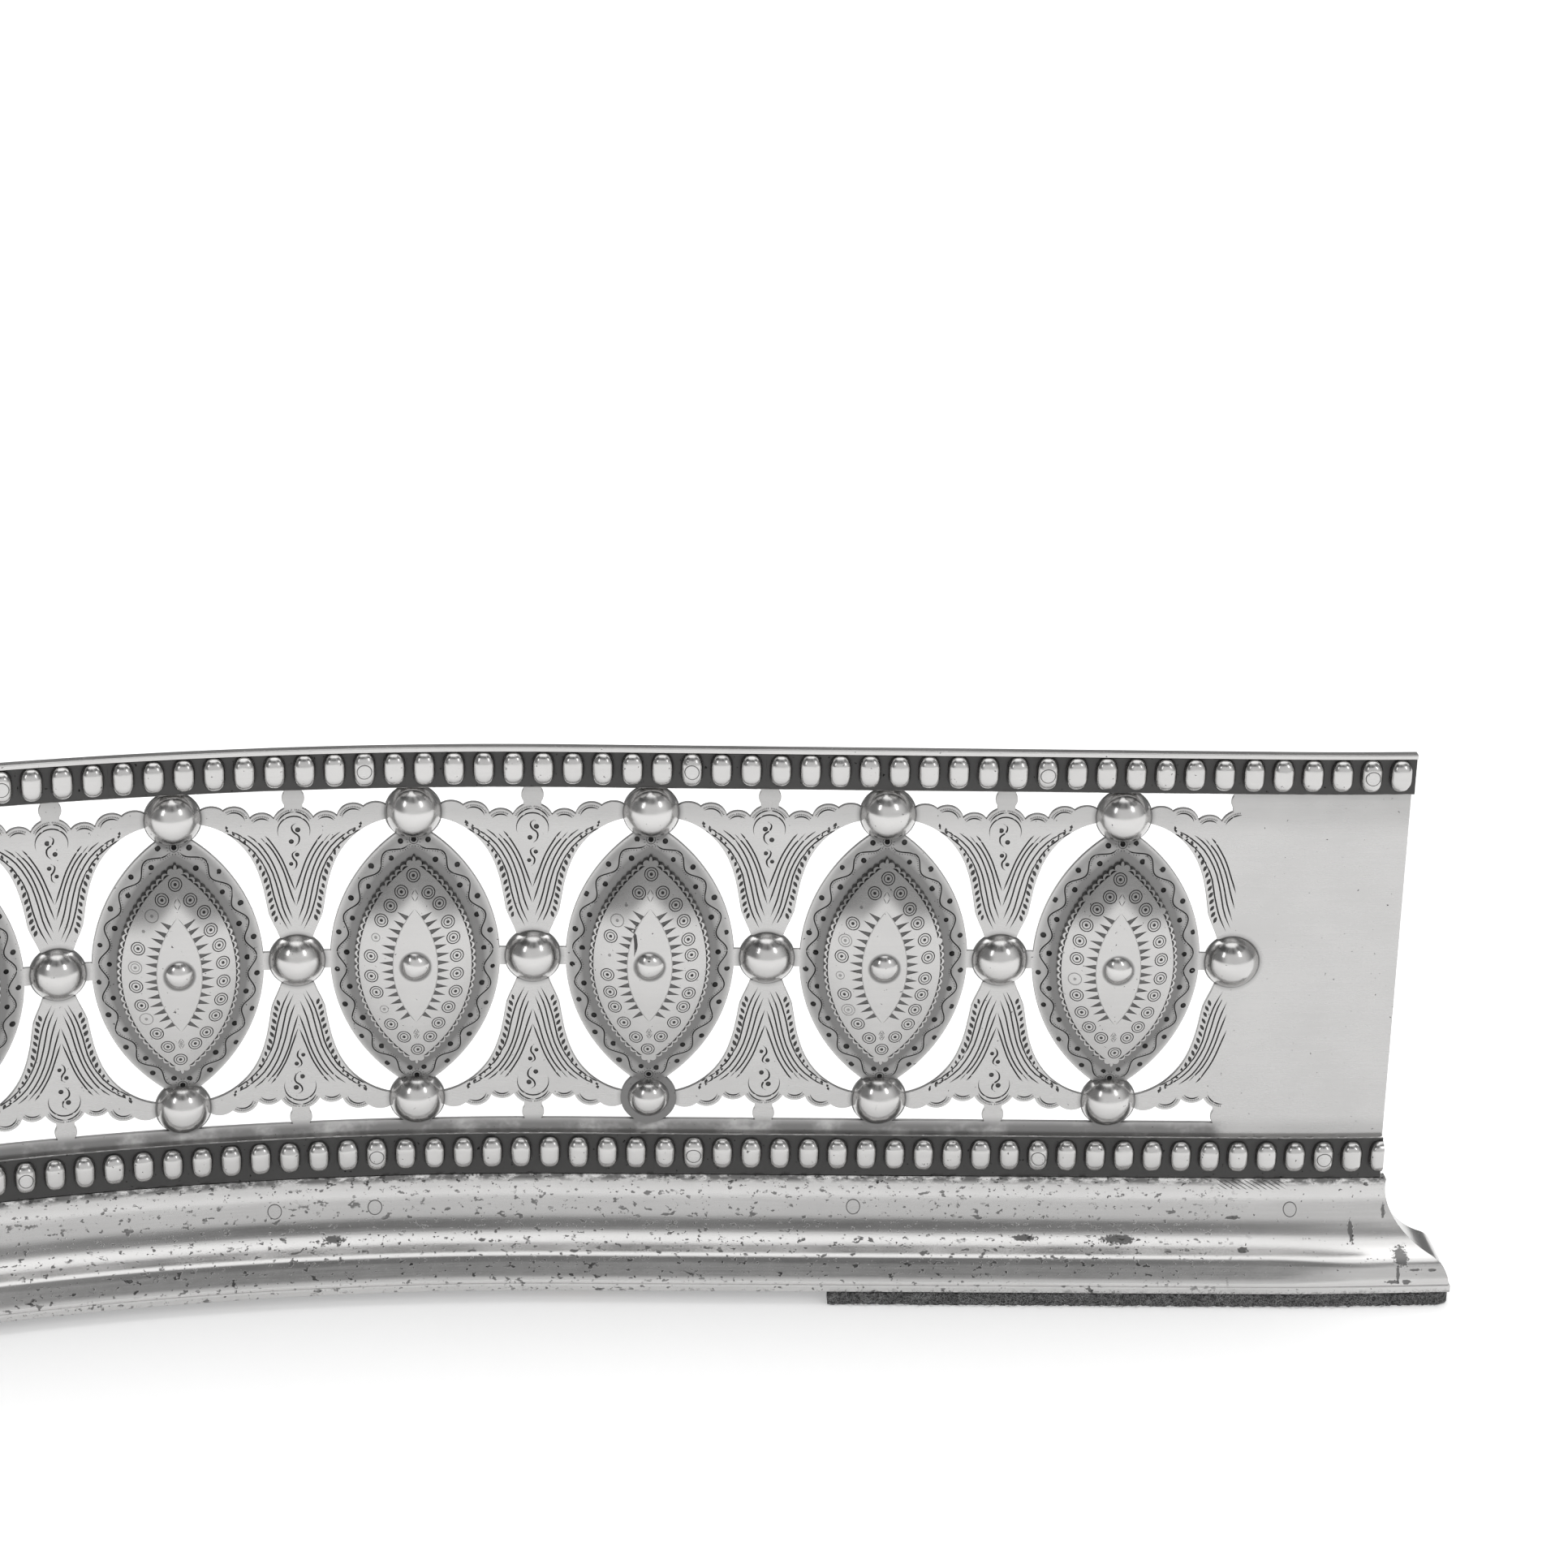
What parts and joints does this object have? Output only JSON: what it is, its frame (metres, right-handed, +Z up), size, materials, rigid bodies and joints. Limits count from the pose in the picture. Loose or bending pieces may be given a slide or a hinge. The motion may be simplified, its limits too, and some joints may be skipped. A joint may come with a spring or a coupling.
{
  "type": "fire fender",
  "caption": "Serpentine fire fender with a pierced and engraved steel frieze of pointed ovals, bosses and studs between beaded bands, on a moulded base with felt pads.",
  "frame": {"origin": "middle of the fender's bounding box, at the underside of its felt pads", "axes": "+X to the right along the fender as seen from the room, +Y back towards the fire, +Z up; the bowed front faces -Y"},
  "size_m": [1.3988, 0.0964, 0.2058],
  "materials": {
    "frieze_steel": "polished, engraved and lightly patinated",
    "beading_steel": "polished",
    "rivet_steel": "polished",
    "stud_steel": "polished",
    "boss_steel": "polished and engraved",
    "base_steel": "polished, with scratches and pits",
    "back_iron": "dark, unpolished wrought iron",
    "felt": "dark grey felt"
  },
  "bodies": {
    "root": {"frieze_plate": "frieze_steel", "top_beading_1": "beading_steel", "top_beading_2": "beading_steel", "top_beading_3": "beading_steel", "top_beading_4": "beading_steel", "top_beading_5": "beading_steel", "top_beading_6": "beading_steel", "bottom_beading_1": "beading_steel", "bottom_beading_2": "beading_steel", "bottom_beading_3": "beading_steel", "bottom_beading_4": "beading_steel", "bottom_beading_5": "beading_steel", "bottom_beading_6": "beading_steel", "top_beading_rivets": "rivet_steel", "bottom_beading_rivets": "rivet_steel", "top_studs": "stud_steel", "middle_studs": "stud_steel", "bottom_studs": "stud_steel", "replaced_stud": "stud_steel", "boss_01": "boss_steel", "boss_02": "boss_steel", "boss_03": "boss_steel", "boss_04": "boss_steel", "boss_05": "boss_steel", "boss_06": "boss_steel", "boss_07": "boss_steel", "boss_08": "boss_steel", "boss_09": "boss_steel", "boss_10": "boss_steel", "boss_11": "boss_steel", "boss_12": "boss_steel", "boss_13": "boss_steel", "boss_14": "boss_steel", "boss_15": "boss_steel", "boss_studs": "stud_steel", "base_moulding": "base_steel", "base_return_left": "base_steel", "base_return_right": "base_steel", "base_rivets": "rivet_steel", "backing_bar": "back_iron", "sole_strip_left": "back_iron", "sole_strip_right": "back_iron", "sole_return_left": "back_iron", "sole_return_right": "back_iron", "sole_rivets": "back_iron", "felt_pad_left": "felt", "felt_pad_middle": "felt", "felt_pad_right": "felt", "felt_return_left": "felt", "felt_return_right": "felt"}
  },
  "joints": []
}
